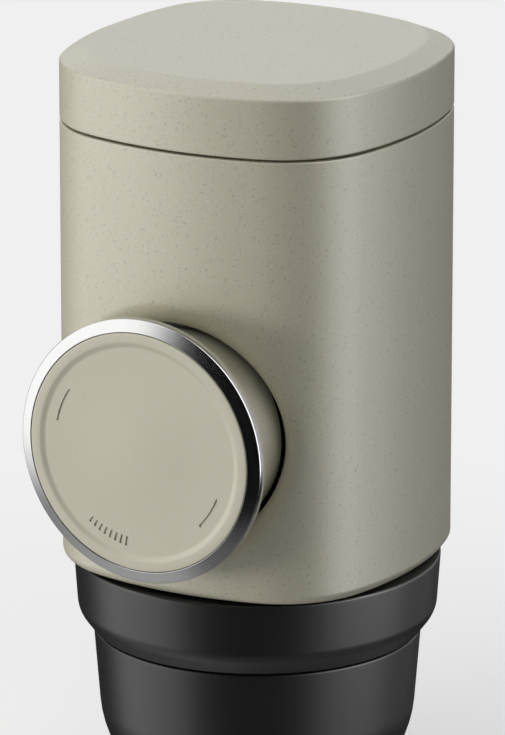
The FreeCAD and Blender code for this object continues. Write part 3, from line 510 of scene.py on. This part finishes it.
def makeMarkCutter(s, length, middleAngle, sweep, steps):
    bpy.ops.object.select_all(action="DESELECT")
    bpy.ops.mesh.primitive_plane_add(size=mm)
    cutter = bpy.context.object
    # Three times as tall as the mark is deep, so that it stands clear of the band.
    tall = s["markDepth"] * 3
    middle = s["bandFloor"] - s["markDepth"] + tall / 2
    bpy.ops.object.mode_set(mode="EDIT")
    bpy.ops.mesh.select_all(action="SELECT")
    bpy.ops.transform.resize(value=(length, tall, 1))
    bpy.ops.transform.translate(value=(s["markRadius"] * mm, -middle * mm, 0))
    bpy.ops.object.mode_set(mode="OBJECT")
    cutter.rotation_euler = (0, -radians(middleAngle - sweep / 2), 0)
    cutter.location = (0, 0, knobAxisZ)
    bpy.ops.object.transform_apply(location=True, rotation=True, scale=False)
    bpy.ops.object.mode_set(mode="EDIT")
    bpy.ops.mesh.select_all(action="SELECT")
    bpy.ops.mesh.spin(steps=steps, angle=radians(sweep), center=(0, 0, knobAxisZ), axis=(0, 1, 0))
    tidyMesh()
    return cutter


def makeKnobFace(s):
    piece = turnOnKnob("knobFaceDisc", [
        *crownHeights(s),
        *slopeFrom(s["borderInner"], s["bandFloor"], s["bandSlope"]),
        *slopeFrom(s["borderInner"], s["border"], s["borderSlope"]),
        *slopeFrom(s["radius"], s["border"], s["rimSlope"]),
        (s["radius"], s["seatFront"]), (s["spigot"], s["seatFront"]), (s["spigot"], s["back"]),
        (0, s["back"])], s["steps"])
    cutters = []
    short, long = s["tickLengths"]
    tickSweep = s["lineWidth"] / s["markRadius"] * 180 / pi
    for n in range(s["ticks"]):
        length = short + (long - short) * n / (s["ticks"] - 1)
        angle = s["tickFirst"] + n * s["tickPitch"]
        cutters.append(makeMarkCutter(s, length, angle, tickSweep, s["tickSteps"]))
    for angle in s["dashAngles"]:
        cutters.append(makeMarkCutter(s, s["lineWidth"], angle, s["dashSweep"], s["dashSteps"]))
    pickOnly(*cutters)
    bpy.ops.object.join()
    cutAway(piece, cutters[0])
    smoothFaces(piece, s)
    settle(piece, "sand_face", "sand_plastic", "knob", "knob_face")


makeKnobFace(knobFace)


# Rounded square that the tank cap and the body share: four bowed sides, four round corners.
squareSection = {"halfWidth": 31.0, "sideRadius": 59.5, "cornerRadius": 18.4}


def squareArcs(s):
    offset = s["sideRadius"] - s["halfWidth"]
    span = s["sideRadius"] - s["cornerRadius"]
    centre = (sqrt(2 * span * span - offset * offset) - offset) / 2
    return offset, centre, atan2(centre, centre + offset)


def roundedSquare(s, z):
    offset, centre, lean = squareArcs(s)
    arcs = [(-offset, 0, s["sideRadius"], -lean, lean),
            (centre, centre, s["cornerRadius"], lean, pi / 2 - lean)]
    points = []
    for quarter in range(4):
        turn = quarter * pi / 2
        for x, y, radius, start, end in arcs:
            for n in range(s["arcSteps"]):
                angle = start + (end - start) * n / s["arcSteps"]
                px, py = x + radius * cos(angle), y + radius * sin(angle)
                points.append(Vector((px * cos(turn) - py * sin(turn),
                                      px * sin(turn) + py * cos(turn), z)) * mm)
    return points


def startPlate(name, outline):
    plate = startPiece(name, outline[0])
    drawLine(outline + [outline[0]])
    bpy.ops.mesh.select_all(action="SELECT")
    bpy.ops.mesh.remove_doubles(threshold=mergeGap)
    bpy.ops.mesh.edge_face_add()
    return plate


# Tank cap
tankCap = {
    **squareSection, "arcSteps": 18,
    "base": 121.8, "wallHeight": 10.1, "chamferRise": 1.82, "topShare": 0.866,
    "crownInsets": (6.0, 9.0), "crownRises": (0.09, 0.05),
    "wall": 2.2, "ceiling": 131.5, "softEdge": 0.38, "edgeAngle": 20, "smoothAngle": 28,
}


def makeTankCap(s):
    piece = startPlate("chamferedTankCap", roundedSquare(s, s["base"]))
    bpy.ops.mesh.select_mode(type="FACE")
    # Wall up, chamfer in, then a very low crown.
    extrudeUp(s["wallHeight"])
    extrudeUp(s["chamferRise"])
    bpy.ops.transform.resize(value=(s["topShare"], s["topShare"], 1), center_override=(0, 0, 0))
    for inset, rise in zip(s["crownInsets"], s["crownRises"]):
        bpy.ops.mesh.inset(thickness=inset * mm)
        bpy.ops.transform.translate(value=(0, 0, rise * mm))
    # Hollow underneath, where the vessel sits.
    selectLevel(piece, s["base"])
    bpy.ops.mesh.inset(thickness=s["wall"] * mm)
    extrudeUp(s["ceiling"] - s["base"])
    bpy.ops.mesh.select_mode(type="VERT")
    tidyMesh()
    softenEdges(piece, s)
    smoothFaces(piece, s)
    settle(piece, "sand_plastic", "sand_plastic", "tank", "tank_cap")


makeTankCap(tankCap)


# Body shell, dished round the knob's hole
bodyShell = {
    **squareSection, "arcSteps": 24,
    "base": 44.0, "top": 121.4, "wall": 2.2, "coreOverrun": 1,
    "footRounding": 1.8, "footSteps": 6, "seamRounding": 0.35, "seamSteps": 3,
    "hole": 18.8, "dishRounding": 4.6, "dishSteps": 14, "dishRunOut": (0.06, 0.12),
    "dishFlare": 0.5, "dishLift": 3.0, "drillDepth": 12.0,
    "smoothAngle": 30, "steps": 144,
}


def faceDepth(s, x):
    offset, centre, lean = squareArcs(s)
    reach = abs(x)
    if reach < s["sideRadius"] * sin(lean):
        return sqrt(s["sideRadius"] ** 2 - reach ** 2) - offset
    return centre + sqrt(s["cornerRadius"] ** 2 - (reach - centre) ** 2)


def makeDishCutter(s):
    hole, rounding = s["hole"], s["dishRounding"]
    edge = hole + rounding
    out, up = s["dishRunOut"]
    profile = [(0, s["dishLift"]), (edge + s["dishFlare"], s["dishLift"]), (edge + out, up)]
    for n in range(s["dishSteps"] + 1):
        turn = n / s["dishSteps"] * pi / 2
        profile.append((edge - rounding * sin(turn), rounding * (cos(turn) - 1)))
    profile += [(hole, -s["drillDepth"]), (0, -s["drillDepth"])]
    cutter = turnOnKnob("dishCutter", profile, s["steps"])
    # Draped on the bowed face, so that the dish is as wide all round.
    for point in cutter.data.vertices:
        point.co.y -= faceDepth(s, point.co.x / mm) * mm
    return cutter


def makePrism(name, s, inset, low, high):
    sized = {**s, **{key: s[key] - inset for key in squareSection}}
    prism = startPlate(name, roundedSquare(sized, low))
    extrudeUp(high - low)
    tidyMesh()
    return prism


def roundRim(piece, height, width, steps):
    pickOnly(piece)
    bpy.ops.object.mode_set(mode="EDIT")
    bpy.ops.mesh.select_mode(type="FACE")
    selectLevel(piece, height)
    bpy.ops.mesh.region_to_loop()
    bpy.ops.mesh.bevel(offset=width * mm, segments=steps)
    bpy.ops.mesh.select_mode(type="VERT")
    bpy.ops.object.mode_set(mode="OBJECT")


def makeBodyShell(s):
    piece = makePrism("dishedBodyShell", s, 0, s["base"], s["top"])
    roundRim(piece, s["base"], s["footRounding"], s["footSteps"])
    roundRim(piece, s["top"], s["seamRounding"], s["seamSteps"])
    cutAway(piece, makeDishCutter(s))
    coreLow, coreHigh = s["base"] - s["coreOverrun"], s["top"] + s["coreOverrun"]
    cutAway(piece, makePrism("shellCore", s, s["wall"], coreLow, coreHigh))
    smoothFaces(piece, s)
    settle(piece, "sand_plastic", "sand_plastic", "housing", "body_shell")


makeBodyShell(bodyShell)


# Outlet collar
outletCollar = {
    "bore": 24.25, "inner": 28.85, "lowRadius": 28.55, "wallRadius": 31.05, "topRadius": 31.75,
    "base": 30.2, "wallFrom": 33.5, "top": 43.5, "bendReach": 1.3, "bendSteps": 5,
    "softEdge": 0.42, "edgeAngle": 25, "smoothAngle": 30, "steps": 192,
}


def bendPoints(before, corner, after, reach, steps):
    before, corner, after = Vector(before), Vector(corner), Vector(after)
    start = corner + (before - corner).normalized() * reach
    end = corner + (after - corner).normalized() * reach
    points = []
    for n in range(steps + 1):
        t = n / steps
        points.append(tuple(start * (1 - t) ** 2 + corner * 2 * t * (1 - t) + end * t * t))
    return points


def makeOutletCollar(s):
    low, corner, top = ((s["lowRadius"], s["base"]), (s["wallRadius"], s["wallFrom"]),
                        (s["topRadius"], s["top"]))
    piece = turnUpright("draftedOutletCollar", [
        (s["bore"], s["base"]), low,
        *bendPoints(low, corner, top, s["bendReach"], s["bendSteps"]), top,
        (s["inner"], s["top"]), (s["inner"], s["wallFrom"]), (s["bore"], s["wallFrom"]),
        (s["bore"], s["base"])], s["steps"])
    softenEdges(piece, s)
    smoothFaces(piece, s)
    settle(piece, "black_plastic", "black_plastic", "outlet_head", "outlet_collar")


makeOutletCollar(outletCollar)


# Coffee cup
coffeeCup = {
    "rimRadius": 28.4, "rimHeight": 29.9, "bore": 25.55, "draft": 4.48,
    "cornerStart": 16.5, "cornerRadius": 20.0, "wall": 2.0, "floor": 1.8,
    "arcSteps": 12, "arcCrowding": 1.5,
    "softEdge": 0.35, "edgeAngle": 25, "smoothAngle": 30, "steps": 192,
}


# Points crowd towards the foot, where the arc leans most.
def cornerArc(s, centre, radius, lowZ, highZ):
    points = []
    for n in range(s["arcSteps"] + 1):
        z = lowZ + (highZ - lowZ) * (n / s["arcSteps"]) ** s["arcCrowding"]
        points.append((centre[0] + sqrt(radius ** 2 - (centre[1] - z) ** 2), z))
    return points


def makeCoffeeCup(s):
    draft = radians(s["draft"])
    start = s["rimRadius"] - (s["rimHeight"] - s["cornerStart"]) * tan(draft)
    centre = (start - s["cornerRadius"] * cos(draft),
              s["cornerStart"] + s["cornerRadius"] * sin(draft))
    outer = cornerArc(s, centre, s["cornerRadius"], 0, s["cornerStart"])
    inner = cornerArc(s, centre, s["cornerRadius"] - s["wall"], s["floor"], centre[1])
    piece = turnUpright("roundedCoffeeCup", [
        (0, 0), *outer, (s["rimRadius"], s["rimHeight"]), (s["bore"], s["rimHeight"]),
        (s["bore"], centre[1] + s["wall"] / 2), *reversed(inner), (0, s["floor"])], s["steps"])
    softenEdges(piece, s)
    smoothFaces(piece, s)
    settle(piece, "black_plastic", "black_plastic", "cup", "coffee_cup")


makeCoffeeCup(coffeeCup)
print("visible pieces shaped")


# Studio. The world gives soft light to rough surfaces, strips and glows to gloss, and a
# plain pale background to the camera. A way points out from the maker. A glow's levels go
# over its span, which is the cosine of the angle off its way.
studio = {
    "background": 0.871,
    "fillWay": (-0.75, -0.62, 0.22),    # left front, a little above
    "fillSpan": (-1.0, 1.0),
    "fillLevels": (0.09, 0.60),
    "mirrorWay": (-0.35, 0.64, 0.68),   # behind and above, a little to the left
    "mirrorSpan": (0.60, 0.98),
    "mirrorLevels": (0.006, 2.5),
    "floorWay": (0, 0, -1),
    "floorSpan": (0.50, 0.80),
    "floorLevels": (0.0, 0.24),
    # Upright strips for gloss. Each side of its azimuth a strip is full within flat and gone
    # past reach, in degrees. Low down only its sunk share is left.
    "strips": (
        {"azimuth": -54, "flat": 20, "reach": 46, "level": 2.40,
         "sunkSpan": (-0.56, -0.30), "sunkShare": 0.20},
        {"azimuth": 100, "flat": 14, "reach": 40, "level": 5.30,
         "sunkSpan": (-0.40, -0.28), "sunkShare": 0.0},
        {"azimuth": 152, "flat": 8, "reach": 30, "level": 0.85,
         "sunkSpan": (-0.40, -0.28), "sunkShare": 0.0},
    ),
}

softboxAim = Vector((0, 0, 0.07))
softboxes = {
    "leftBox": {"azimuth": -38, "elevation": 0, "distance": 0.70, "size": (0.34, 0.14),
                "power": 1.75},
    "rightBox": {"azimuth": 75, "elevation": 12, "distance": 0.70, "size": (0.13, 0.60),
                 "power": 0.12},
    "topBox": {"azimuth": -26, "elevation": 42, "distance": 0.45, "size": (0.24, 0.20),
               "power": 0.30},
}


def makeSoftbox(name, s):
    way = wayOut(s)
    bpy.ops.object.light_add(type="AREA", location=softboxAim + way * s["distance"])
    lamp = bpy.context.object
    lamp.name = name
    lookBack(lamp, way)
    lamp.data.shape = "RECTANGLE"
    lamp.data.size, lamp.data.size_y = s["size"]
    lamp.data.energy = s["power"]
    lamp.visible_glossy = False


def leanFrom(tree, way, direction, span, levels, y):
    lean = addNode(tree, "ShaderNodeVectorMath", -1000, y, operation="DOT_PRODUCT")
    feed(tree, way, lean.inputs[0])
    feed(tree, direction, lean.inputs[1])
    return smoothFrom(tree, lean.outputs["Value"], span, levels, -800, y)


def stripFrom(tree, azimuth, height, s, y):
    off = mathFrom(tree, "SUBTRACT", -1000, y, azimuth, radians(s["azimuth"]))
    away = mathFrom(tree, "ABSOLUTE", -800, y, off)
    span = (radians(s["flat"]), radians(s["reach"]))
    level = smoothFrom(tree, away, span, (s["level"], 0), -600, y)
    sunk = smoothFrom(tree, height, s["sunkSpan"], (s["sunkShare"], 1), -600, y - 120)
    return mathFrom(tree, "MULTIPLY", -500, y, level, sunk)


def makeWorld(s):
    world = bpy.data.worlds.new("paleRoom")
    bpy.context.scene.world = world
    world.use_nodes = True
    world.cycles.sampling_method = "NONE"
    tree = world.node_tree
    tree.nodes.clear()
    way = addNode(tree, "ShaderNodeTexCoord", -1600, 0).outputs["Generated"]
    fill = leanFrom(tree, way, s["fillWay"], s["fillSpan"], s["fillLevels"], 0)
    mirror = leanFrom(tree, way, s["mirrorWay"], s["mirrorSpan"], s["mirrorLevels"], -300)
    glows = [leanFrom(tree, way, s["floorWay"], s["floorSpan"], s["floorLevels"], -1300)]
    parts = addNode(tree, "ShaderNodeSeparateXYZ", -1400, -600)
    feed(tree, way, parts.inputs[0])
    front = mathFrom(tree, "MULTIPLY", -1200, -700, parts.outputs["Y"], -1)
    azimuth = mathFrom(tree, "ARCTAN2", -1200, -500, parts.outputs["X"], front)
    for number, strip in enumerate(s["strips"]):
        glows.append(stripFrom(tree, azimuth, parts.outputs["Z"], strip, -1500 - 250 * number))
    for number, glow in enumerate(glows):
        mirror = mathFrom(tree, "ADD", -400, -500 - 250 * number, mirror, glow)
    rays = addNode(tree, "ShaderNodeLightPath", -1000, 400)
    lit = mixFrom(tree, "FLOAT", rays.outputs["Is Glossy Ray"], fill, mirror, -300, 0)
    seen = mathFrom(tree, "MAXIMUM", -600, 300, rays.outputs["Is Camera Ray"],
                    rays.outputs["Is Transmission Ray"])
    strength = mixFrom(tree, "FLOAT", seen, lit, s["background"], -100, 100)
    back = addNode(tree, "ShaderNodeBackground", 100, 100)
    feed(tree, strength, back.inputs["Strength"])
    out = addNode(tree, "ShaderNodeOutputWorld", 300, 100)
    feed(tree, back.outputs[0], out.inputs["Surface"])


paperFloor = {
    "halfSize": 3.0,
    "underFoot": 0.00005,      # clear of the cup's flat foot
    "colour": (0.74, 0.74, 0.74),
    "lift": 0.52,              # pale glow that the camera sees under the shadow
    "fadeSpan": (0.07, 0.20),  # from the axis, where the paper fades into the background
}


def mixShaders(tree, factor, first, second, x, y):
    mix = addNode(tree, "ShaderNodeMixShader", x, y)
    for value, socket in zip((factor, first, second), mix.inputs):
        feed(tree, value, socket)
    return mix.outputs[0]


def makeFloor(s, background):
    bpy.ops.object.select_all(action="DESELECT")
    bpy.ops.mesh.primitive_plane_add(size=2 * s["halfSize"])
    floor = bpy.context.object
    floor.name = "paperFloor"
    floor.location.z = -s["underFoot"]
    material = bpy.data.materials.new("palePaper")
    material.use_nodes = True
    tree = material.node_tree
    tree.nodes.clear()
    place = addNode(tree, "ShaderNodeTexCoord", -1000, 0).outputs["Object"]
    length = addNode(tree, "ShaderNodeVectorMath", -800, 0, operation="LENGTH")
    feed(tree, place, length.inputs[0])
    fade = smoothFrom(tree, length.outputs["Value"], s["fadeSpan"], (0, 1), -600, 0)
    rays = addNode(tree, "ShaderNodeLightPath", -1000, 400)
    cameraRay = rays.outputs["Is Camera Ray"]
    paper = addNode(tree, "ShaderNodeBsdfDiffuse", -600, -150)
    feed(tree, s["colour"], paper.inputs["Color"])
    lift = addNode(tree, "ShaderNodeEmission", -600, -400)
    liftSeen = mathFrom(tree, "MULTIPLY", -800, -400, cameraRay, s["lift"])
    feed(tree, liftSeen, lift.inputs["Strength"])
    lifted = addNode(tree, "ShaderNodeAddShader", -400, -200)
    feed(tree, paper.outputs[0], lifted.inputs[0])
    feed(tree, lift.outputs[0], lifted.inputs[1])
    glow = addNode(tree, "ShaderNodeEmission", -400, -450)
    feed(tree, background, glow.inputs["Strength"])
    seen = mathFrom(tree, "MULTIPLY", -400, 300, cameraRay, fade)
    shown = mixShaders(tree, seen, lifted.outputs[0], glow.outputs[0], -200, 0)
    # Gloss looks through the paper, so that the strips run down past it.
    openPaper = addNode(tree, "ShaderNodeBsdfTransparent", -200, -200).outputs[0]
    through = mixShaders(tree, rays.outputs["Is Glossy Ray"], shown, openPaper, 0, 0)
    out = addNode(tree, "ShaderNodeOutputMaterial", 200, 0)
    feed(tree, through, out.inputs["Surface"])
    floor.data.materials.append(material)


makeWorld(studio)
for boxName, box in softboxes.items():
    makeSoftbox(boxName, box)
makeFloor(paperFloor, studio["background"])
print("studio lit")
